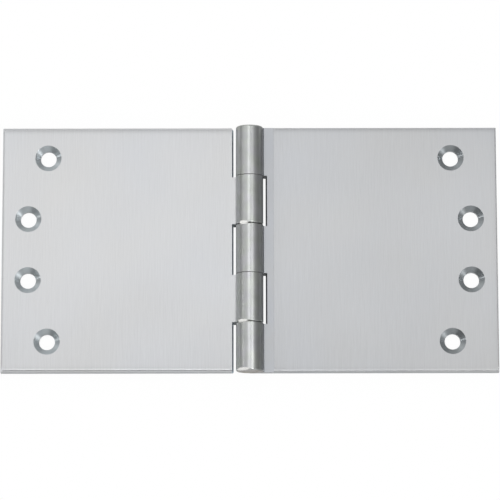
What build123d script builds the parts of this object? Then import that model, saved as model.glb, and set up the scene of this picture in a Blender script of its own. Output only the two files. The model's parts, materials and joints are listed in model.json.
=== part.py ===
from build123d import *
from math import sqrt
import os

# A broad butt hinge, opened flat. X runs across the two leaves and Y along the pin. The backs of the
# leaves lie on Z = 0, and their countersunk faces look up. The origin is under the middle of the pin.

# Driving dimensions, in millimetres and degrees
hinge_height = 100.0  # along the pin
hinge_width = 200.0  # across both leaves, outer edge to outer edge
leaf_thickness = 4.0
barrel_radius = 5.5  # the barrel's lowest line is level with the leaves' backs
pin_radius = 3.0
knuckle_count = 5

# How the knuckles run on the pin
joint_gap = 0.15  # play along the pin at each joint between two knuckles
joint_shift = -0.4  # the joints lie this far along the pin from an even spacing
running_clearance = 0.05  # between the pin and the bore of the leaf that turns on it

# The notches that clear the other leaf's knuckles. Their walls lean, and so do their +Y ends
notch_front_reach = 7.1  # from the pin's axis, at the leaf's front
notch_back_reach = 6.5
notch_end_lean = 0.6  # how much further the +Y end of a notch is cut back at the leaf's front

# Screw holes, staggered so that the screws don't split the wood along one line of its grain
screw_hole_radius = 3.2
countersink_radius = 5.3
countersink_angle = 90.0
hole_pitch = 25.0  # along the pin
end_hole_margin = 18.5  # from the leaf's outer edge
middle_hole_margin = 10.6

# Small finishing details
root_radius = 0.5  # where a leaf's front meets its knuckles
ground_strip_reach = 9.8  # from the axis: the shallow strip ground beside the barrel of one leaf
ground_strip_depth = 0.15
front_edge_radius = 0.6  # polished over round the face of the leaf that holds the pin
softer_front_edge_radius = 1.0  # and round the face of the other leaf
corner_radius = 0.6  # of a leaf's corners beside the barrel
open_rim_radius = 0.7  # knuckle rims that stand open, which polishing has rounded
closed_rim_break = 0.15  # knuckle rims that another knuckle covers
bore_mouth_break = 0.3
pin_end_break = 0.3

# Sizes that follow from the ones above
half_height = hinge_height / 2
half_width = hinge_width / 2
knuckle_pitch = hinge_height / knuckle_count
overcut = 1.0  # how far a cutting tool runs past the metal
web_inner_radius = (barrel_radius + pin_radius) / 2  # the web reaches this far into the knuckles
hole_places = [
    (half_width - end_hole_margin, -1.5 * hole_pitch),
    (half_width - middle_hole_margin, -0.5 * hole_pitch),
    (half_width - middle_hole_margin, 0.5 * hole_pitch),
    (half_width - end_hole_margin, 1.5 * hole_pitch),
]


def cross_section(y):
    """The plane across the pin at this Y. An extrusion from it runs towards -Y."""
    return Plane.XZ.offset(-y)


def knuckle_space(place, gap_share, end_share):
    """The lowest and highest Y of the knuckle at this place, counted from the +Y end of the barrel.

    It is made longer by gap_share at each joint and by end_share at the barrel's ends.
    """
    high = half_height - place * knuckle_pitch
    low = high - knuckle_pitch
    low += -end_share if place == knuckle_count - 1 else joint_shift - gap_share
    high += end_share if place == 0 else joint_shift + gap_share
    return low, high


def cut_notch(side, place):
    """The tool that cuts one notch: its wall leans away from the pin, and its +Y end from the joint."""
    low, high = knuckle_space(place, joint_gap / 2, overcut)
    wall_lean = (notch_front_reach - notch_back_reach) / leaf_thickness
    end_lean = 0 if place == 0 else notch_end_lean / leaf_thickness
    with BuildPart() as tool:
        with BuildSketch(cross_section(high + barrel_radius)):
            with BuildLine():
                Polyline(
                    (-side * overcut, -overcut),
                    (side * (notch_back_reach - wall_lean * overcut), -overcut),
                    (side * (notch_back_reach + wall_lean * barrel_radius), barrel_radius),
                    (-side * overcut, barrel_radius),
                    close=True,
                )
            make_face()
        extrude(amount=high - low + 2 * barrel_radius)
        with BuildSketch(Plane.YZ):
            with BuildLine():
                Polyline(
                    (low, -overcut),
                    (high - end_lean * overcut, -overcut),
                    (high + end_lean * barrel_radius, barrel_radius),
                    (low, barrel_radius),
                    close=True,
                )
            make_face()
        extrude(amount=2 * barrel_radius, both=True, mode=Mode.INTERSECT)
    return tool.part


def build_leaf(side, own_knuckles, open_rims, edge_radius, bore_radius, web_reach, web_thickness):
    """One leaf with its knuckles, on the +X side (1) or the -X side (-1) of the pin.

    open_rims names the rounded rims as (place, end), where end is -1 for the rim nearer to -Y.
    """
    outward = (Align.MIN if side > 0 else Align.MAX, Align.MIN)
    inward = (Align.MAX if side > 0 else Align.MIN, Align.MIN)
    root_reach = sqrt(barrel_radius**2 - (barrel_radius - web_thickness) ** 2)
    root_drop = (barrel_radius - web_thickness - root_radius) * barrel_radius / (barrel_radius + root_radius)

    with BuildPart() as leaf:
        # The flat plate, with its polished front rounded over on the three free edges
        with BuildSketch(cross_section(half_height)):
            with Locations((side * web_reach, 0)):
                Rectangle(half_width - web_reach, leaf_thickness, align=outward)
        extrude(amount=hinge_height)
        front = leaf.faces().sort_by(Axis.Z)[-1]
        fillet(front.edges().sort_by_distance((0, 0, leaf_thickness))[1:], edge_radius)

        # The web, which runs from under the pin to the plate and has a small fillet at the barrel
        with BuildSketch(cross_section(half_height)) as web:
            with Locations((0, barrel_radius)):
                Circle(barrel_radius)
            Rectangle(web_reach, web_thickness, align=outward)
            root = web.vertices().sort_by_distance((side * root_reach, web_thickness))[0]
            fillet(root, root_radius)
            Rectangle(web_reach, barrel_radius - root_drop, align=outward, mode=Mode.INTERSECT)
            with Locations((0, barrel_radius)):
                Circle(web_inner_radius, mode=Mode.SUBTRACT)
        extrude(amount=hinge_height)

        # A notch beside each knuckle of the other leaf
        for place in range(knuckle_count):
            if place not in own_knuckles:
                add(cut_notch(side, place), mode=Mode.SUBTRACT)

        # The corners that stand free beside the barrel, rounded along their leaning edges
        wall_lean = (notch_front_reach - notch_back_reach) / leaf_thickness
        for place, end in ((0, 1), (knuckle_count - 1, -1)):
            if place in own_knuckles:
                continue
            wall = side * (notch_back_reach - wall_lean * overcut)
            edge = end * half_height
            with BuildSketch(Plane.XY.offset(-overcut)):
                with Locations((wall, edge)):
                    Rectangle(2 * corner_radius, 2 * corner_radius)
                with Locations((wall + side * corner_radius, edge - end * corner_radius)):
                    Circle(corner_radius, mode=Mode.SUBTRACT)
            extrude(amount=2 * leaf_thickness, dir=(side * wall_lean, 0, 1), mode=Mode.SUBTRACT)

        # The knuckles, bored and turned, with a rounded or a broken rim at each end
        for place in own_knuckles:
            low, high = knuckle_space(place, -joint_gap / 2, 0)
            with BuildSketch(Plane.XY.offset(barrel_radius)) as knuckle_wall:
                with Locations((-side * bore_radius, low)):
                    Rectangle(barrel_radius - bore_radius, high - low, align=inward)
                corners = knuckle_wall.vertices().sort_by_distance((0, (low + high) / 2, barrel_radius))
                bore_mouths, rims = corners[:2], corners[2:].sort_by(Axis.Y)
                chamfer(bore_mouths, bore_mouth_break)
                for end, rim in zip((-1, 1), rims):
                    if (place, end) in open_rims:
                        fillet(rim, open_rim_radius)
                    else:
                        chamfer(rim, closed_rim_break)
            revolve(axis=Axis((0, 0, barrel_radius), (0, 1, 0)))

        # Screw holes, countersunk from the front
        with Locations(*[(side * x, y, leaf_thickness) for x, y in hole_places]):
            CounterSinkHole(screw_hole_radius, countersink_radius, counter_sink_angle=countersink_angle)
    return leaf


# The leaf with the first, third and fifth knuckles holds the pin
three_knuckle_leaf = build_leaf(
    side=1,
    own_knuckles=(0, 2, 4),
    open_rims=((0, 1), (4, -1)),
    edge_radius=front_edge_radius,
    bore_radius=pin_radius,
    web_reach=ground_strip_reach,
    web_thickness=leaf_thickness - ground_strip_depth,
)

# The leaf with the second and fourth knuckles turns on the pin
two_knuckle_leaf = build_leaf(
    side=-1,
    own_knuckles=(1, 3),
    open_rims=((1, -1), (3, -1)),
    edge_radius=softer_front_edge_radius,
    bore_radius=pin_radius + running_clearance,
    web_reach=notch_back_reach,
    web_thickness=leaf_thickness,
)

# The pin is as long as the barrel of the leaf that holds it
with BuildPart() as hinge_pin:
    with BuildSketch(cross_section(half_height)):
        with Locations((0, barrel_radius)):
            Circle(pin_radius)
    extrude(amount=hinge_height)
    chamfer(hinge_pin.edges().filter_by(GeomType.CIRCLE), pin_end_break)

three_knuckle_leaf.part.label = "three_knuckle_leaf"
two_knuckle_leaf.part.label = "two_knuckle_leaf"
hinge_pin.part.label = "hinge_pin"

os.makedirs("parts", exist_ok=True)
export_step(three_knuckle_leaf.part, "parts/three_knuckle_leaf.step")
export_step(two_knuckle_leaf.part, "parts/two_knuckle_leaf.step")
export_step(hinge_pin.part, "parts/hinge_pin.step")
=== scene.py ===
# %% [markdown]
# # A broad butt hinge in satin metal
#
# The hinge is two flat leaves that turn on one pin. Its shape is fixed already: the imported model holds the
# leaves, their knuckles and the pin at their real size. What is left for Blender is the finish, and on a
# plain metal part the finish is everything: which faces were polished, which were only machined, and how
# the light of the studio lies on them.

# %% Load the frame
import json
import math
import bpy
from mathutils import Euler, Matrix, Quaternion, Vector


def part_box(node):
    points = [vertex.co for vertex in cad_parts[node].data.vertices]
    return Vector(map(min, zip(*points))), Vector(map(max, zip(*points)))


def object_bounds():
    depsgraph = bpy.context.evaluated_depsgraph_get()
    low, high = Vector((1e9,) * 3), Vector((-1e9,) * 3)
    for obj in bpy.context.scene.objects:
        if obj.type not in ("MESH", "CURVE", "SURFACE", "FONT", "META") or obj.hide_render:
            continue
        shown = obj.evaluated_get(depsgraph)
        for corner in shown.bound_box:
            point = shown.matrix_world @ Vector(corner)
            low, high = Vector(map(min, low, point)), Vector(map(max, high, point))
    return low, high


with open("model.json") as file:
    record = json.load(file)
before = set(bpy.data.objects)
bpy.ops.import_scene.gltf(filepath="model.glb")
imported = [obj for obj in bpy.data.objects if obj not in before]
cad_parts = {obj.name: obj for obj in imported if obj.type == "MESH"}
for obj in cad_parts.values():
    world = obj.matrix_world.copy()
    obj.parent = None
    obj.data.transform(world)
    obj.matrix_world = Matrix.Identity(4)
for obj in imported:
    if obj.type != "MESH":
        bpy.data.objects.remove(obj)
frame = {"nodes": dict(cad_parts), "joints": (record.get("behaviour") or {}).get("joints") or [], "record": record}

cad_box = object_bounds()
mm = 0.001
print("nodes:", sorted(frame["nodes"]))
print("size in mm:", [round(side / mm, 2) for side in cad_box[1] - cad_box[0]])

# %% [markdown]
# ## Where things are
#
# Most places used below come from the frame: the pin's line from the joint, the screw holes from the
# mounts, and the edges of each leaf from its box. The few that it doesn't hold are named where they are
# first needed. Nothing is typed in twice, so the finish stays on the right faces if the model changes.

# %% Read the places from the frame
pin_height = frame["joints"][0]["pos_m"][2]
half_width = cad_box[1].x
barrel_radius = cad_box[1].z - pin_height
pin_radius = (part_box("hinge_pin")[1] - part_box("hinge_pin")[0]).x / 2
sides = {"three_knuckle_leaf": 1, "two_knuckle_leaf": -1}


def hole_rows(side):
    """(X, Y, spacing along the pin) of each pair of screw holes of one leaf, the closer pair first."""
    rows = []
    for mount in frame["record"]["mounts"]:
        if mount["kind"] == "bolt_pattern" and mount["pos_m"][0] * side > 0:
            x, y, _ = mount["pos_m"]
            rows.append((x, y, mount["dims"]["spacing_y_mm"] * mm))
    return sorted(rows, key=lambda row: row[2])


def hole_centres(side):
    """The middles of all the screw holes of one leaf, in the plane of the leaf."""
    return [(x, y + sign * spacing / 2) for x, y, spacing in hole_rows(side) for sign in (-1, 1)]


print("screw holes on the right:", [(round(x / mm, 2), round(y / mm, 2)) for x, y in hole_centres(1)])

# %% [markdown]
# ## The camera
#
# The photograph looks down on the open hinge from about 80 degrees above the horizon, through a long lens
# from far away, so that the leaves stay almost rectangular. The camera is put there first, because every
# finish is judged through it. It is turned by a tenth of a degree about its own line of sight, because the
# hinge in the photograph isn't quite level.

# %% Place the camera
camera_elevation = 80.0  # degrees above the horizon, from the -Y side
camera_roll = -0.09  # degrees
camera_distance = 1.222  # metres, from the middle of the pin
sensor_width = 36  # millimetres
picture_side = 500  # pixels
pixels_per_mm = 2.4828  # at the pin
pin_in_picture = (249.62, 248.51)  # where the middle of the pin is seen, in pixels from the top left

camera_data = bpy.data.cameras.new("camera")
camera = bpy.data.objects.new("camera", camera_data)
bpy.context.scene.collection.objects.link(camera)
tilt = Euler((math.radians(90 - camera_elevation), 0, 0)).to_quaternion()
turn = tilt @ Quaternion((0, 0, 1), math.radians(camera_roll))
right, up, back = (turn @ Vector(axis) for axis in ((1, 0, 0), (0, 1, 0), (0, 0, 1)))
aside = (picture_side / 2 - pin_in_picture[0]) / pixels_per_mm * mm
below = (picture_side / 2 - pin_in_picture[1]) / pixels_per_mm * mm
camera.location = Vector((0, 0, pin_height)) + right * aside - up * below + back * camera_distance
camera.rotation_mode = "QUATERNION"
camera.rotation_quaternion = turn
camera_data.sensor_width = sensor_width
camera_data.lens = sensor_width * pixels_per_mm * (camera_distance / mm) / picture_side
camera_data.clip_end = 20  # beyond the far edge of the floor
bpy.context.scene.camera = camera
bpy.context.scene.view_settings.view_transform = "Standard"
print("lens in mm:", round(camera_data.lens, 1))

# %% [markdown]
# ## Small helpers for node trees
#
# Materials are built from nodes. Four short helpers keep that readable: one adds a node and wires its
# sockets by name, one does a sum, one maps one range of numbers to another, and one starts a node group
# with named inputs and outputs.


# %% Helpers for nodes
def add_node(tree, kind, sockets=(), **options):
    """Add a node.

    Options are its own settings, and sockets are its inputs, by name or number, as values or links.
    """
    made = tree.nodes.new(kind)
    for option, value in options.items():
        setattr(made, option, value)
    for socket, value in dict(sockets).items():
        if isinstance(value, bpy.types.NodeSocket):
            tree.links.new(value, made.inputs[socket])
        else:
            made.inputs[socket].default_value = value
    return made


def do_math(tree, operation, *values, clamp=False):
    """One sum on numbers, as a socket."""
    made = add_node(tree, "ShaderNodeMath", enumerate(values), operation=operation)
    made.use_clamp = clamp
    return made.outputs[0]


def rescale(tree, value, low, high, to_low=0.0, to_high=1.0, smooth=True):
    """Map a value from low..high to to_low..to_high, held at both ends."""
    shape = "SMOOTHSTEP" if smooth else "LINEAR"
    sockets = {"Value": value, "From Min": low, "From Max": high, "To Min": to_low, "To Max": to_high}
    return add_node(tree, "ShaderNodeMapRange", sockets, interpolation_type=shape).outputs["Result"]


def start_group(name, inputs, outputs):
    """A new shader node group. inputs maps a name to (socket type, default), outputs a name to a type."""
    group = bpy.data.node_groups.new(name, "ShaderNodeTree")
    for label, (kind, default) in inputs.items():
        socket = group.interface.new_socket(label, in_out="INPUT", socket_type=kind)
        if default is not None:
            socket.default_value = default
    for label, kind in outputs.items():
        group.interface.new_socket(label, in_out="OUTPUT", socket_type=kind)
    return group, group.nodes.new("NodeGroupInput").outputs, group.nodes.new("NodeGroupOutput").inputs


NUMBER, VECTOR, COLOUR = "NodeSocketFloat", "NodeSocketVector", "NodeSocketColor"

# %% [markdown]
# ## Grain
#
# A satin finish is rubbed in one direction with a fine abrasive, so the metal is covered with scratches far
# thinner than a hair that all run the same way, here along the pin. Noise that is stretched along that
# direction gives them. The group puts out the grain as a number about zero, which a material may use for
# colour, for roughness and as the height of a bump.


# %% Node group: grain
def multiply_vectors(tree, first, second):
    """Two vectors or colours, multiplied channel by channel."""
    return add_node(tree, "ShaderNodeVectorMath", {0: first, 1: second}, operation="MULTIPLY").outputs[0]


def make_grain():
    inputs = {
        "Position": (VECTOR, None),
        "Line Width": (NUMBER, 0.3 * mm),
        "Line Length": (NUMBER, 8 * mm),
        "Seed": (NUMBER, 0.0),
    }
    group, given, result = start_group("Grain", inputs, {"Grain": NUMBER})
    across = do_math(group, "DIVIDE", 1.0, given["Line Width"])
    along = do_math(group, "DIVIDE", 1.0, given["Line Length"])
    stretch = add_node(group, "ShaderNodeCombineXYZ", {"X": across, "Y": along, "Z": across}).outputs[0]
    place = multiply_vectors(group, given["Position"], stretch)
    noise = add_node(group, "ShaderNodeTexNoise", {
        "Vector": place, "W": given["Seed"], "Scale": 1.0, "Detail": 3.0, "Roughness": 0.65,
    }, noise_dimensions="4D")
    group.links.new(do_math(group, "MULTIPLY_ADD", noise.outputs["Fac"], 2.0, -1.0), result["Grain"])
    return group


grain_group = make_grain()
print("group:", grain_group.name)

# %% [markdown]
# ## Cloudiness
#
# No hand-held finish is even. Where the pad pressed harder or stayed longer the metal is a little brighter,
# and the bare metal takes on faint warm and cool tints. This group gives one slow number for brightness and
# one for tint, so that the two don't change in step.


# %% Node group: cloudiness
seed_step = 10.0  # far enough apart that brightness and tint don't look alike


def make_cloudiness():
    inputs = {"Position": (VECTOR, None), "Size": (NUMBER, 30 * mm), "Seed": (NUMBER, 0.0)}
    group, given, result = start_group("Cloudiness", inputs, {"Brightness": NUMBER, "Tint": NUMBER})
    scale = do_math(group, "DIVIDE", 1.0, given["Size"])
    for number, label in enumerate(("Brightness", "Tint")):
        seed = do_math(group, "ADD", given["Seed"], seed_step * number)
        noise = add_node(group, "ShaderNodeTexNoise", {
            "Vector": given["Position"], "W": seed, "Scale": scale, "Detail": 2.0, "Roughness": 0.5,
        }, noise_dimensions="4D")
        group.links.new(do_math(group, "MULTIPLY_ADD", noise.outputs["Fac"], 2.0, -1.0), result[label])
    return group


cloudiness_group = make_cloudiness()
print("group:", cloudiness_group.name)

# %% [markdown]
# ## The colour of the metal
#
# Both groups above end in one place: the colour that the metal reflects. This group starts from a base
# colour, brightens and darkens it with the clouds and the grain, and leans it to a warm or a cool side.


# %% Node group: metal colour
warm_tint = (1.0, 0.985, 0.94)
cool_tint = (0.975, 0.99, 1.0)


def scale_vector(tree, vector, factor):
    """A vector or colour times a number."""
    return add_node(tree, "ShaderNodeVectorMath", {0: vector, "Scale": factor}, operation="SCALE").outputs[0]


def make_metal_colour():
    inputs = {
        "Base": (COLOUR, (0.7, 0.7, 0.7, 1.0)),
        "Clouds": (NUMBER, 0.0),
        "Tint": (NUMBER, 0.0),
        "Grain": (NUMBER, 0.0),
        "Cloud Strength": (NUMBER, 0.05),
        "Tint Strength": (NUMBER, 0.1),
        "Grain Strength": (NUMBER, 0.05),
        "Warm": (COLOUR, (*warm_tint, 1.0)),
        "Cool": (COLOUR, (*cool_tint, 1.0)),
    }
    group, given, result = start_group("Metal Colour", inputs, {"Color": COLOUR})
    clouds = do_math(group, "MULTIPLY", given["Clouds"], given["Cloud Strength"])
    both = do_math(group, "MULTIPLY_ADD", given["Grain"], given["Grain Strength"], clouds)
    level = do_math(group, "ADD", both, 1.0)
    lean = do_math(group, "MULTIPLY_ADD", given["Tint"], given["Tint Strength"], 0.5, clamp=True)
    tint = add_node(group, "ShaderNodeMix", {"Factor": lean}, data_type="RGBA")
    group.links.new(given["Cool"], tint.inputs["A"])
    group.links.new(given["Warm"], tint.inputs["B"])
    tinted = multiply_vectors(group, given["Base"], tint.outputs["Result"])
    group.links.new(scale_vector(group, tinted, level), result["Color"])
    return group


metal_colour_group = make_metal_colour()
print("group:", metal_colour_group.name)

# %% [markdown]
# ## The rolled-over edge
#
# A polishing wheel is soft. Near the outline of a leaf it wraps round the edge, so the flat face begins to
# fall away a few millimetres before the real rounding starts. The fall is only a few degrees, too little to
# model, but metal shows it at once as a lighter or darker border. The group bends the surface normal
# outwards near the outline. The bend is worked out in the leaf's own coordinates and then turned into the
# world's, so that it follows the leaf when it swings.


# %% Node group: rolled edge
def turn_to_world(tree, vector, kind="VECTOR"):
    """A direction on the piece, turned into the world's."""
    return add_node(tree, "ShaderNodeVectorTransform", {0: vector},
                    vector_type=kind, convert_from="OBJECT", convert_to="WORLD").outputs[0]


def make_rolled_edge():
    inputs = {
        "Position": (VECTOR, None),
        "Half Width": (NUMBER, half_width),
        "Middle": (NUMBER, 0.0),
        "Half Height": (NUMBER, 50 * mm),
        "Reach": (NUMBER, 3 * mm),
        "Fall": (NUMBER, 0.12),
    }
    group, given, result = start_group("Rolled Edge", inputs, {"Normal": VECTOR})
    place = add_node(group, "ShaderNodeSeparateXYZ", {0: given["Position"]}).outputs
    height = do_math(group, "SUBTRACT", place["Y"], given["Middle"])
    bends = []
    for value, limit in ((place["X"], given["Half Width"]), (height, given["Half Height"])):
        inset = do_math(group, "SUBTRACT", limit, do_math(group, "ABSOLUTE", value))
        share = do_math(group, "DIVIDE", inset, given["Reach"], clamp=True)
        mask = do_math(group, "POWER", do_math(group, "SUBTRACT", 1.0, share), 2.0)
        bend = do_math(group, "MULTIPLY", do_math(group, "SIGN", value), mask)
        bends.append(do_math(group, "MULTIPLY", bend, given["Fall"]))
    lean = add_node(group, "ShaderNodeCombineXYZ", {"X": bends[0], "Y": bends[1]}).outputs[0]
    lean = turn_to_world(group, lean)
    normal = group.nodes.new("ShaderNodeNewGeometry").outputs["Normal"]
    bent = add_node(group, "ShaderNodeVectorMath", {0: normal, 1: lean}, operation="ADD").outputs[0]
    bent = add_node(group, "ShaderNodeVectorMath", {0: bent}, operation="NORMALIZE").outputs[0]
    group.links.new(bent, result["Normal"])
    return group


rolled_edge_group = make_rolled_edge()
print("group:", rolled_edge_group.name)

# %% [markdown]
# ## One way to start every metal
#
# All the finishes on this hinge are bare metal, so they share a beginning: a Principled shader that is fully
# metallic, and the position on the piece itself. The position is the Object coordinate, not the world's,
# because the grain has to stay on the leaf while it swings. The rubbed and polished finishes also share the
# groups for grain, clouds and colour, and differ only in their numbers.


# %% Start a metal material
def use_group(tree, group, sockets):
    """Add a node group with these inputs, and return its outputs."""
    return add_node(tree, "ShaderNodeGroup", sockets, node_tree=group).outputs


def start_metal(name):
    """A metallic material with nothing set yet: (material, tree, shader's inputs, position on the piece)."""
    material = bpy.data.materials.new(name)
    material.use_nodes = True
    tree = material.node_tree
    tree.nodes.clear()
    shader = add_node(tree, "ShaderNodeBsdfPrincipled", {"Metallic": 1.0})
    add_node(tree, "ShaderNodeOutputMaterial", {"Surface": shader.outputs["BSDF"]})
    position = tree.nodes.new("ShaderNodeTexCoord").outputs["Object"]
    return material, tree, shader.inputs, position


def grained_metal(
        name, base, grain, clouds, strengths, roughness, bump, normal=None, tints=(warm_tint, cool_tint)):
    """A metal with grain and clouds: (material, tree, shader's inputs, position on the piece).

    grain is (line width, line length), clouds their size, and strengths how much the clouds, the tint and
    the grain change the colour. roughness is (middle, change by the grain), and bump the depth of the grain.
    normal is a function that adds the surface normal below the grain, and tints are (warm, cool).
    """
    material, tree, shader, position = start_metal(name)
    seed = float(len(bpy.data.materials))
    line_width, line_length = grain
    cloud_strength, tint_strength, grain_strength = strengths
    middle_roughness, roughness_change = roughness
    lines = use_group(tree, grain_group, {
        "Position": position, "Line Width": line_width, "Line Length": line_length, "Seed": seed})["Grain"]
    cloud = use_group(tree, cloudiness_group, {"Position": position, "Size": clouds, "Seed": seed})
    colour = use_group(tree, metal_colour_group, {
        "Base": (*base, 1.0), "Clouds": cloud["Brightness"], "Tint": cloud["Tint"], "Grain": lines,
        "Cloud Strength": cloud_strength, "Tint Strength": tint_strength, "Grain Strength": grain_strength,
        "Warm": (*tints[0], 1.0), "Cool": (*tints[1], 1.0)})
    tree.links.new(colour["Color"], shader["Base Color"])
    spread = do_math(tree, "MULTIPLY_ADD", lines, roughness_change, middle_roughness)
    tree.links.new(spread, shader["Roughness"])
    relief = add_node(tree, "ShaderNodeBump", {"Strength": 1.0, "Distance": bump, "Height": lines})
    if normal is not None:
        tree.links.new(normal(tree, position), relief.inputs["Normal"])
    tree.links.new(relief.outputs["Normal"], shader["Normal"])
    return material, tree, shader, position


print("groups so far:", [group.name for group in bpy.data.node_groups])

# %% [markdown]
# ## The satin face
#
# The broad front of each leaf is what the eye lands on. Its grain is so fine that a step away it only takes
# the shine off: the reflections spread out and the face becomes one pale, even grey. Across the grain they
# spread more than along it, which is what the shader's anisotropy is for. One leaf has a paler base colour
# than the other, and its edges are rolled over further.


# %% Satin face
def rolled_edge_of(node, reach, fall):
    """A function that adds the rolled edge of one leaf to a material and returns its normal."""
    low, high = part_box(node)

    def bend(tree, position):
        return use_group(tree, rolled_edge_group, {
            "Position": position, "Half Width": half_width, "Middle": (low.y + high.y) / 2,
            "Half Height": (high.y - low.y) / 2, "Reach": reach, "Fall": fall})["Normal"]

    return bend


def spread_along(tree, shader, axis, amount):
    """Spread the reflections along one axis of the piece, also when the leaf has swung."""
    direction = add_node(tree, "ShaderNodeCombineXYZ", {axis: 1.0}).outputs[0]
    tree.links.new(turn_to_world(tree, direction), shader["Tangent"])
    shader["Anisotropic"].default_value = amount


def make_satin_face(node, base, reach, fall):
    material, tree, shader, _ = grained_metal(
        f"satin_face_{node}", base, grain=(0.35 * mm, 9 * mm), clouds=38 * mm, strengths=(0.05, 0.5, 0.12),
        roughness=(0.40, 0.05), bump=0.002 * mm, normal=rolled_edge_of(node, reach, fall))
    spread_along(tree, shader, "X", 0.98)
    return material


satin_looks = {
    # node: (colour, reach of the rolled edge, its fall as a slope)
    "three_knuckle_leaf": ((0.621, 0.631, 0.656), 3 * mm, 0.10),
    "two_knuckle_leaf": ((0.703, 0.712, 0.738), 3.5 * mm, 0.125),
}
satin_faces = {node: make_satin_face(node, *look) for node, look in satin_looks.items()}
print("faces:", [material.name for material in satin_faces.values()])

# %% [markdown]
# ## The strip beside the barrel
#
# Along the barrel of the three knuckle leaf runs a shallow strip. It has a look of its own: a little darker and
# a little bluer than the face beside it, and with a hard edge at its end where the faces beside it are rolled
# over.


# %% Strip beside the barrel
strip_beside_barrel = grained_metal(
    "strip_beside_barrel", (0.383, 0.394, 0.419), grain=(0.25 * mm, 5 * mm), clouds=12 * mm,
    strengths=(0.05, 0.6, 0.05), roughness=(0.4, 0.05), bump=0.003 * mm)[0]
print("strip:", strip_beside_barrel.name)

# %% [markdown]
# ## Rim highlights
#
# Three rims of the barrel look as if they were broken by hand with a file, on the left side only: two where
# a knuckle of the left leaf begins or ends, and the one at the barrel's lower end. Each shows as a small white
# lens: partly a flat facet that mirrors the light, partly a painted highlight. The group makes one such lens
# from the place along the pin and the angle round it, and puts it out as a mask. The barrel's material uses the
# mask twice: the colour there is brighter, a painted highlight, and the normal is that of a flat facet, which
# mirrors the light overhead where the round metal beside it mirrors the dark of the room.


# %% Node group: rim highlight
lens_core = 0.35  # square of the share of the lens, from its middle, that is fully bright


def make_rim_highlight():
    inputs = {
        "Position": (VECTOR, None), "Pin Height": (NUMBER, pin_height), "Rim": (NUMBER, 0.0),
        "Half Length": (NUMBER, 1.1 * mm), "Angle": (NUMBER, 0.5), "Half Angle": (NUMBER, 0.45),
    }
    group, given, result = start_group("Rim Highlight", inputs, {"Mask": NUMBER})
    place = add_node(group, "ShaderNodeSeparateXYZ", {0: given["Position"]}).outputs
    height = do_math(group, "SUBTRACT", place["Z"], given["Pin Height"])
    angle = do_math(group, "ARCTAN2", do_math(group, "MULTIPLY", place["X"], -1.0), height)
    offsets = (
        do_math(group, "DIVIDE", do_math(group, "SUBTRACT", place["Y"], given["Rim"]), given["Half Length"]),
        do_math(group, "DIVIDE", do_math(group, "SUBTRACT", angle, given["Angle"]), given["Half Angle"]),
    )
    squares = [do_math(group, "MULTIPLY", offset, offset) for offset in offsets]
    mask = rescale(group, do_math(group, "ADD", *squares), 1.0, lens_core)
    group.links.new(mask, result["Mask"])
    return group


rim_highlight_group = make_rim_highlight()
print("group:", rim_highlight_group.name)

# %% [markdown]
# ## The barrel
#
# The knuckles are polished on their own, round the pin as well as along it, and they come out brighter and
# less even than the leaves. The metal has faint greenish and warm patches where it was handled, and shallow
# dents that make the highlight wander. Low on the right flank the colour is darkened, which is painted shade
# beside the leaf. The curve of the barrel sweeps the whole studio into a strip eleven millimetres wide, so its
# roughness decides how soft the step is from the bright light overhead to the dark room beside it.


# %% Barrel
rim_highlights = (
    # (place along the pin, half its length, angle to the left and half its angle in degrees)
    (9.9 * mm, 0.95 * mm, 28, 28),
    (-30.0 * mm, 0.85 * mm, 35, 35),
    (-49.5 * mm, 0.85 * mm, 34, 44),
)
# Painted highlight: the brighter colour of the lenses on the rims.
painted_highlight_colour = (0.55, 0.55, 0.535, 1.0)
facet_normal = {"X": -0.07, "Y": -0.02, "Z": 0.997}
flank_shade_share = 0.62  # how bright the painted shade leaves the right flank, beside the rest of the barrel
flank_shade_from, flank_shade_to = 20, 46  # degrees to the right round the pin, where the painted shade begins and where it is full
dent_size = 4 * mm
dent_depth = 0.05 * mm
dent_stretch = (1.0, 0.4, 1.0)  # below 1 draws the dents out along the pin


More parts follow.
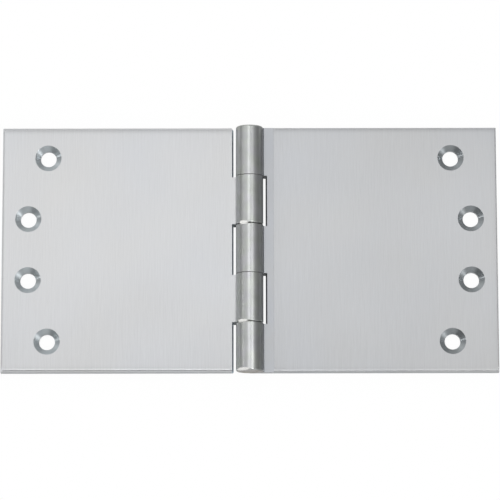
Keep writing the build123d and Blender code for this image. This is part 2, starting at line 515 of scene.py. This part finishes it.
def make_barrel():
    material, tree, shader, position = grained_metal(
        "polished_barrel", (0.465, 0.468, 0.466), grain=(0.5 * mm, 6 * mm), clouds=4 * mm,
        strengths=(0.16, 2.0, 0.06), roughness=(0.34, 0.05), bump=0.003 * mm,
        tints=((0.965, 1.0, 0.955), (0.985, 0.99, 1.02)))
    rim_highlight_mask = 0.0
    for rim, half_length, angle, half_angle in rim_highlights:
        mask = use_group(tree, rim_highlight_group, {
            "Position": position, "Rim": rim, "Half Length": half_length,
            "Angle": math.radians(angle), "Half Angle": math.radians(half_angle)})["Mask"]
        rim_highlight_mask = do_math(tree, "MAXIMUM", rim_highlight_mask, mask)
    # Painted shade: the colour is darkened on the right flank, from 20 to 46 degrees round the pin.
    place = add_node(tree, "ShaderNodeSeparateXYZ", {0: position}).outputs
    slope = do_math(tree, "ARCTAN2", place["X"], do_math(tree, "SUBTRACT", place["Z"], pin_height))
    painted_flank_shade = rescale(tree, slope, math.radians(flank_shade_from), math.radians(flank_shade_to), 1.0, flank_shade_share)
    plain = shader["Base Color"].links[0].from_socket
    # Painted highlight: inside the lenses the colour is brighter, and the normal below is a flat facet's.
    bright = add_node(tree, "ShaderNodeMix", {"Factor": rim_highlight_mask}, data_type="RGBA")
    tree.links.new(scale_vector(tree, plain, painted_flank_shade), bright.inputs["A"])
    bright.inputs["B"].default_value = painted_highlight_colour
    tree.links.new(bright.outputs["Result"], shader["Base Color"])
    facet = add_node(tree, "ShaderNodeCombineXYZ", facet_normal).outputs[0]
    facet = turn_to_world(tree, facet, "NORMAL")
    drawn_out = multiply_vectors(tree, position, dent_stretch)
    dents = add_node(tree, "ShaderNodeTexNoise", {
        "Vector": drawn_out, "W": 2.0, "Scale": 1 / dent_size, "Detail": 1.0, "Roughness": 0.5,
    }, noise_dimensions="4D").outputs["Fac"]
    relief = shader["Normal"].links[0].from_node
    dented = add_node(tree, "ShaderNodeBump", {"Strength": 1.0, "Distance": dent_depth, "Height": dents})
    flat = add_node(tree, "ShaderNodeMix", {"Factor": rim_highlight_mask}, data_type="VECTOR")
    tree.links.new(dented.outputs["Normal"], flat.inputs["A"])
    tree.links.new(facet, flat.inputs["B"])
    tree.links.new(flat.outputs["Result"], relief.inputs["Normal"])
    return material


barrel = make_barrel()
print("barrel:", barrel.name)

# %% [markdown]
# ## Machined faces
#
# The notches and the outer edges of the leaves are never polished. They keep the marks of the cutter, which
# are coarser than the grain of the faces, and a darker, colder grey. The notch walls have a colour of their own
# on each leaf: bluish on the left one, and almost black on the right one, which is painted shade for the gap.


# %% Machined faces and the back
machined = grained_metal(
    "machined_edge", (0.587, 0.609, 0.632), grain=(0.3 * mm, 3 * mm), clouds=6 * mm,
    strengths=(0.1, 0.8, 0.1), roughness=(0.42, 0.08), bump=0.006 * mm)[0]
back = grained_metal(
    "unseen_back", (0.6, 0.61, 0.62), grain=(0.5 * mm, 14 * mm), clouds=30 * mm,
    strengths=(0.07, 0.8, 0.06), roughness=(0.44, 0.06), bump=0.004 * mm)[0]
# Painted shade: the right leaf's notch walls are almost black, for the shade in the gap beside the barrel.
notch_colours_and_shade = {"three_knuckle_leaf": (0.11, 0.12, 0.14), "two_knuckle_leaf": (0.53, 0.64, 0.73)}
notch_walls = {
    node: grained_metal(
        f"notch_wall_{node}", base, grain=(0.3 * mm, 2 * mm), clouds=5 * mm,
        strengths=(0.12, 0.8, 0.12), roughness=(0.42, 0.08), bump=0.006 * mm)[0]
    for node, base in notch_colours_and_shade.items()
}
print("machined:", machined.name, back.name, [material.name for material in notch_walls.values()])

# %% [markdown]
# ## Rings
#
# The bit that cuts a countersink leaves fine rings round its axis, and so does the tool that faces off the
# end of a pin. The rings are noise that depends on the distance from the axis and hardly at all on the
# angle. One group and one kind of metal serve both, because they only ask for the place measured from the
# axis.


# %% Node group: turned rings, and the metal that shows them
def make_turned_rings():
    inputs = {
        "Across": (NUMBER, 0.0),
        "Along": (NUMBER, 0.0),
        "Ring Width": (NUMBER, 0.12 * mm),
        "Seed": (NUMBER, 0.0),
    }
    group, given, result = start_group("Turned Rings", inputs, {"Rings": NUMBER})
    squares = [do_math(group, "MULTIPLY", given[label], given[label]) for label in ("Across", "Along")]
    radius = do_math(group, "SQRT", do_math(group, "ADD", *squares))
    angle = do_math(group, "ARCTAN2", given["Along"], given["Across"])
    scaled = do_math(group, "DIVIDE", radius, given["Ring Width"])
    around = add_node(group, "ShaderNodeCombineXYZ", {
        "X": scaled, "Y": do_math(group, "COSINE", angle), "Z": do_math(group, "SINE", angle)}).outputs[0]
    noise = add_node(group, "ShaderNodeTexNoise", {
        "Vector": around, "W": given["Seed"], "Scale": 1.0, "Detail": 2.0, "Roughness": 0.6,
    }, noise_dimensions="4D")
    group.links.new(do_math(group, "MULTIPLY_ADD", noise.outputs["Fac"], 2.0, -1.0), result["Rings"])
    return group


def ringed_metal(metal, base, across, along, ring_width, clouds, strengths, roughness, bump, seeds, tints):
    """Give a metal that start_metal made its rings and clouds.

    across and along are the place measured from the axis, strengths how much the clouds, the tint and the
    rings change the colour, bump the depth of the rings, seeds (rings, clouds), and tints (warm, cool).
    """
    material, tree, shader, position = metal
    cloud_strength, tint_strength, ring_strength = strengths
    rings = use_group(tree, turned_rings_group, {
        "Across": across, "Along": along, "Ring Width": ring_width, "Seed": seeds[0]})["Rings"]
    cloud = use_group(tree, cloudiness_group, {"Position": position, "Size": clouds, "Seed": seeds[1]})
    colour = use_group(tree, metal_colour_group, {
        "Base": (*base, 1.0), "Clouds": cloud["Brightness"], "Tint": cloud["Tint"], "Grain": rings,
        "Cloud Strength": cloud_strength, "Tint Strength": tint_strength, "Grain Strength": ring_strength,
        "Warm": (*tints[0], 1.0), "Cool": (*tints[1], 1.0)})
    relief = add_node(tree, "ShaderNodeBump", {"Strength": 1.0, "Distance": bump, "Height": rings})
    tree.links.new(colour["Color"], shader["Base Color"])
    tree.links.new(relief.outputs["Normal"], shader["Normal"])
    shader["Roughness"].default_value = roughness
    return material


turned_rings_group = make_turned_rings()
print("group:", turned_rings_group.name)

# %% [markdown]
# ## Finding the screw holes inside a material
#
# Rings round a screw hole need the place measured from that hole's axis. The four holes of a leaf come in
# two pairs that mirror each other along the pin, so a few sums fold them onto one: the distance along the pin
# tells which pair it is, and its sign tells which of the two. That way one material serves every hole.


# %% Node group: place in a screw hole
def make_hole_place():
    labels = ("Row Middle", "Near Across", "Near Along", "Far Across", "Far Along")
    inputs = {"Position": (VECTOR, None), **{label: (NUMBER, 0.0) for label in labels}}
    outputs = {"Across": NUMBER, "Along": NUMBER}
    group, given, result = start_group("Place In Hole", inputs, outputs)
    place = add_node(group, "ShaderNodeSeparateXYZ", {0: given["Position"]}).outputs
    along = do_math(group, "SUBTRACT", place["Y"], given["Row Middle"])
    distance = do_math(group, "ABSOLUTE", along)
    between = do_math(group, "MULTIPLY", do_math(group, "ADD", given["Near Along"], given["Far Along"]), 0.5)
    far = do_math(group, "GREATER_THAN", distance, between)
    near = do_math(group, "SUBTRACT", 1.0, far)
    centre = []
    for direction in ("Across", "Along"):
        share = do_math(group, "MULTIPLY", given[f"Near {direction}"], near)
        centre.append(do_math(group, "MULTIPLY_ADD", given[f"Far {direction}"], far, share))
    across = do_math(group, "SUBTRACT", place["X"], centre[0])
    mirrored = do_math(group, "MULTIPLY", do_math(group, "SIGN", along), centre[1])
    along = do_math(group, "SUBTRACT", along, mirrored)
    group.links.new(across, result["Across"])
    group.links.new(along, result["Along"])
    return group


hole_place_group = make_hole_place()
print("group:", hole_place_group.name)

# %% [markdown]
# ## The countersinks
#
# Each countersink is cut after the leaf is rubbed, so its cone is bare cut metal with the rings of the tool.
# Rings spread a reflection straight up and down the cone and keep it narrow round the axis. That is why a
# real countersink shows bright spokes rather than an even shine. The shader does the same when its tangent
# is the axis of the hole, which on the cone runs straight up the slope, and its anisotropy is high.


# %% Countersinks
def make_countersink(node, base):
    (near_x, row_y, near_spacing), (far_x, _, far_spacing) = hole_rows(sides[node])
    metal = start_metal(f"countersink_{node}")
    _, tree, shader, position = metal
    place = use_group(tree, hole_place_group, {
        "Position": position, "Row Middle": row_y, "Near Across": near_x, "Near Along": near_spacing / 2,
        "Far Across": far_x, "Far Along": far_spacing / 2})
    spread_along(tree, shader, "Z", 1.0)
    return ringed_metal(
        metal, base, place["Across"], place["Along"], ring_width=0.14 * mm, clouds=4 * mm,
        strengths=(0.12, 0.5, 0.12), roughness=0.35, bump=0.003 * mm, seeds=(0.0, 3.0),
        tints=(warm_tint, cool_tint))


countersink_colours = {"three_knuckle_leaf": (0.356, 0.380, 0.401), "two_knuckle_leaf": (0.51, 0.55, 0.58)}
countersinks = {node: make_countersink(node, base) for node, base in countersink_colours.items()}
print("countersinks:", [material.name for material in countersinks.values()])

# %% [markdown]
# ## The ends of the barrel
#
# The ends of the knuckles and of the pin were faced off on a lathe, round the pin's axis. Cut steel that is
# left bare takes on a faint straw and violet tint from the heat and from handling, and keeps the rings.


# %% Faced-off ends of the knuckles and the pin
def make_faced_end(name, base, ring_width):
    metal = start_metal(name)
    _, tree, _, position = metal
    place = add_node(tree, "ShaderNodeSeparateXYZ", {0: position}).outputs
    height = do_math(tree, "SUBTRACT", place["Z"], pin_height)
    return ringed_metal(
        metal, base, place["X"], height, ring_width, clouds=3 * mm,
        strengths=(0.16, 1.4, 0.08), roughness=0.4, bump=0.008 * mm, seeds=(5.0, 5.0),
        tints=((1.0, 0.95, 0.86), (0.97, 0.95, 1.0)))


knuckle_end = make_faced_end("faced_knuckle_end", (0.468, 0.459, 0.451), 0.2 * mm)
pin_steel = make_faced_end("turned_pin", (0.5, 0.5, 0.5), 0.15 * mm)
print("ends:", knuckle_end.name, pin_steel.name)

# %% [markdown]
# ## Which face gets which finish
#
# The leaves come from the model as one mesh each, and their shape isn't changed here. Every face of the mesh
# can use its own material slot, so the faces are sorted by where they are and which way they look, just as
# the workshop would tell them apart: what a wheel can reach is polished, the rest is as the cutter left it.


# %% Sort the faces of the leaves
countersink_radius = 5.3 * mm
leaf_thickness = 4 * mm
bore_play = 0.1 * mm
rounding = 1.1 * mm  # how far down the fronts are rounded at their edges
barrel_side = 2 * barrel_radius  # nearer to the pin than this, a leaf's sides are notch walls
tiny = 0.02 * mm
# How far the parts of a normal, from -1 to 1, reach on each kind of face
flat_up = 0.99
cone_up = 0.3
rounded_up = 0.05
backs_down = -0.9
along_the_pin = 0.9
away_from_pin = 0.2


def kind_of_face(side, centre, normal):
    """The finish of one face of a leaf, from its middle and its normal."""
    from_pin = math.hypot(centre.x, centre.z - pin_height)
    from_hole = min(math.hypot(centre.x - x, centre.y - y) for x, y in hole_centres(side))
    if from_hole < countersink_radius + tiny and abs(normal.z) < flat_up:
        return "countersink" if normal.z > cone_up else "machined"
    if from_pin < pin_radius + bore_play:
        return "knuckle end"
    if from_pin < barrel_radius + tiny:
        outward = (centre.x * normal.x + (centre.z - pin_height) * normal.z) / from_pin
        return "barrel" if outward > away_from_pin else "knuckle end"
    if normal.z < backs_down:
        return "back"
    if normal.z > flat_up:
        return "strip" if centre.z < leaf_thickness - tiny else "face"
    if normal.z > rounded_up and centre.z > leaf_thickness - rounding and abs(centre.x) > barrel_side:
        return "face"
    if abs(centre.x) > barrel_side or abs(normal.y) > along_the_pin:
        return "machined"
    return "face" if centre.z > leaf_thickness else "notch"


def sort_faces(node):
    finishes = {
        "face": satin_faces[node],
        "strip": strip_beside_barrel,
        "barrel": barrel,
        "machined": machined,
        "notch": notch_walls[node],
        "knuckle end": knuckle_end,
        "countersink": countersinks[node],
        "back": back,
    }
    mesh = frame["nodes"][node].data
    mesh.materials.clear()
    for material in finishes.values():
        mesh.materials.append(material)
    counts = dict.fromkeys(finishes, 0)
    for face in mesh.polygons:
        kind = kind_of_face(sides[node], face.center, face.normal)
        face.material_index = list(finishes).index(kind)
        counts[kind] += 1
    print(node, counts)


for node in sides:
    sort_faces(node)
pin_mesh = frame["nodes"]["hinge_pin"].data
pin_mesh.materials.clear()
pin_mesh.materials.append(pin_steel)

# %% [markdown]
# ## The floor
#
# The hinge lies flat on a pale floor, and the photograph's background is plain white. The floor has to do
# three different things, and Light Path tells them apart. To the camera it is clear, so that the white of
# the world shows through it, darkened a little where the hinge stands close above. To the metal it is a
# solid pale floor, shaded by the hinge nearby and white further off. From below it is clear, so that a
# leaf that swings past it still gets its light, and so it is right under the backs that lie on it, which
# would otherwise be black when they are looked at from below.


# %% Pale floor
floor_reach = 4.0  # metres, from the hinge to each side
floor_grey = 0.8
near_shade = 0.97  # what is left of the white beside the hinge
shade_distance = 50 * mm
fade_from, fade_to = 20 * mm, 80 * mm  # how far from the metal the mirrored floor turns white
touch_distance = 5 * tiny


def make_floor():
    material = bpy.data.materials.new("pale_floor")
    material.use_nodes = True
    tree = material.node_tree
    tree.nodes.clear()
    path = tree.nodes.new("ShaderNodeLightPath").outputs
    from_below = tree.nodes.new("ShaderNodeNewGeometry").outputs["Backfacing"]
    occlusion = add_node(tree, "ShaderNodeAmbientOcclusion", {"Distance": shade_distance}, samples=16)
    shade = rescale(tree, occlusion.outputs["AO"], 0.0, 1.0, near_shade, 1.0, smooth=False)
    shade = add_node(tree, "ShaderNodeCombineColor", {0: shade, 1: shade, 2: shade}).outputs[0]
    to_camera = add_node(tree, "ShaderNodeBsdfTransparent", {"Color": shade}).outputs[0]
    clear = add_node(tree, "ShaderNodeBsdfTransparent", {"Color": (1.0, 1.0, 1.0, 1.0)}).outputs[0]
    grey = (floor_grey, floor_grey, floor_grey, 1.0)
    solid = add_node(tree, "ShaderNodeBsdfDiffuse", {"Color": grey}).outputs[0]
    white = add_node(tree, "ShaderNodeEmission", {"Color": (1.0, 1.0, 1.0, 1.0), "Strength": 1.0}).outputs[0]
    far = rescale(tree, path["Ray Length"], fade_from, fade_to)
    mirrored = do_math(tree, "MAXIMUM", path["Is Glossy Ray"], path["Is Transmission Ray"])
    touching = do_math(tree, "LESS_THAN", path["Ray Length"], touch_distance)

    def mix(share, first, second):
        return add_node(tree, "ShaderNodeMixShader", {0: share, 1: first, 2: second}).outputs[0]

    to_metal = mix(do_math(tree, "MULTIPLY", mirrored, far), solid, white)
    above = mix(path["Is Camera Ray"], to_metal, to_camera)
    surface = mix(do_math(tree, "MAXIMUM", from_below, touching), above, clear)
    add_node(tree, "ShaderNodeOutputMaterial", {"Surface": surface})
    return material


corners = [(x * floor_reach, y * floor_reach, -tiny) for x, y in ((-1, -1), (1, -1), (1, 1), (-1, 1))]
floor_mesh = bpy.data.meshes.new("floor")
floor_mesh.from_pydata(corners, [], [(0, 1, 2, 3)])
floor_mesh.materials.append(make_floor())
floor = bpy.data.objects.new("floor", floor_mesh)
bpy.context.scene.collection.objects.link(floor)
print("floor:", floor_reach * 2, "m")

# %% [markdown]
# ## The room
#
# Metal shows its surroundings, so the room matters as much as the lamps. It is evenly dim, with five soft
# reflectors round the hinge. The brightest stands high behind it on the left: it makes the barrel light on
# that side and leaves its right flank dark. The others stand low, in front and behind, where only the
# countersinks and the rounded edges see them. The camera doesn't see the room: to it the world is white.

# %% World
room_brightness = 0.31
horizon_blur = 0.02
reflectors = (
    # (azimuth from +X, elevation, how far it reaches, all in degrees, brightness)
    (135, 46, 32, 1.20),
    (270, 20, 34, 0.79),
    (90, 20, 34, 0.76),
    (315, 20, 34, 0.47),
    (45, 20, 34, 0.31),
)


def direction_to(azimuth, elevation):
    """The unit vector towards a place in the room, from angles in degrees."""
    azimuth, elevation = math.radians(azimuth), math.radians(elevation)
    across = math.cos(elevation)
    return (across * math.cos(azimuth), across * math.sin(azimuth), math.sin(elevation))


world = bpy.data.worlds.new("room")
bpy.context.scene.world = world
world.use_nodes = True
tree = world.node_tree
tree.nodes.clear()
direction = tree.nodes.new("ShaderNodeTexCoord").outputs["Generated"]
height = add_node(tree, "ShaderNodeSeparateXYZ", {0: direction}).outputs["Z"]
room = room_brightness
for azimuth, elevation, reach, brightness in reflectors:
    facing = add_node(tree, "ShaderNodeVectorMath", {
        0: direction, 1: direction_to(azimuth, elevation)}, operation="DOT_PRODUCT").outputs["Value"]
    glow = rescale(tree, facing, math.cos(math.radians(reach)), 1.0, 0.0, brightness)
    room = do_math(tree, "ADD", room, glow)
below_horizon = rescale(tree, height, -horizon_blur, horizon_blur, 1.0, 0.0)
path = tree.nodes.new("ShaderNodeLightPath").outputs
white = do_math(tree, "MAXIMUM", below_horizon, path["Is Camera Ray"])
strength = add_node(tree, "ShaderNodeMix", {"Factor": white, "A": room, "B": 1.0}, data_type="FLOAT")
background = add_node(tree, "ShaderNodeBackground", {
    "Color": (1.0, 1.0, 1.0, 1.0), "Strength": strength.outputs[0]}).outputs[0]
add_node(tree, "ShaderNodeOutputWorld", {"Surface": background})
print("world:", world.name, "with", len(reflectors), "reflectors")

# %% [markdown]
# ## The lamps
#
# A softbox hangs just behind the place that the flat faces mirror. Their grain spreads its reflection across
# the pin but hardly along it, so each face is brightest in the middle of its height and a little darker
# towards both ends. Two small lamps stand far off, high on the right and low on the left. They put the
# narrow bright spokes into the countersinks, and the right one sharpens the barrel's highlight.

# %% Lamps
def hang_lamp(name, side, radiance, place):
    """A square lamp of this side that looks at the hinge."""
    data = bpy.data.lights.new(name, "AREA")
    data.shape = "SQUARE"
    data.size = side
    data.energy = radiance * math.pi * side**2
    lamp = bpy.data.objects.new(name, data)
    lamp.location = place
    lamp.rotation_mode = "QUATERNION"
    lamp.rotation_quaternion = Vector(place).to_track_quat("Z", "Y")
    bpy.context.scene.collection.objects.link(lamp)
    print(name, "in watts:", round(data.energy, 1))


def hang_far_lamp(name, width, irradiance, toward):
    """A lamp so far away that its light comes from one direction. width is its apparent size in degrees."""
    data = bpy.data.lights.new(name, "SUN")
    data.angle = math.radians(width)
    data.energy = irradiance
    lamp = bpy.data.objects.new(name, data)
    lamp.rotation_mode = "QUATERNION"
    lamp.rotation_quaternion = Vector(toward).to_track_quat("Z", "Y")
    bpy.context.scene.collection.objects.link(lamp)
    print(name, "in watts per square metre:", irradiance)


hang_lamp("softbox", 0.4, 3.17, (-0.12, 0.255, 1.38))
hang_far_lamp("right_lamp", 5, 0.86, (0.373, -0.09, 0.923))
hang_far_lamp("left_lamp", 4, 0.207, (-0.86, -0.03, 0.5))
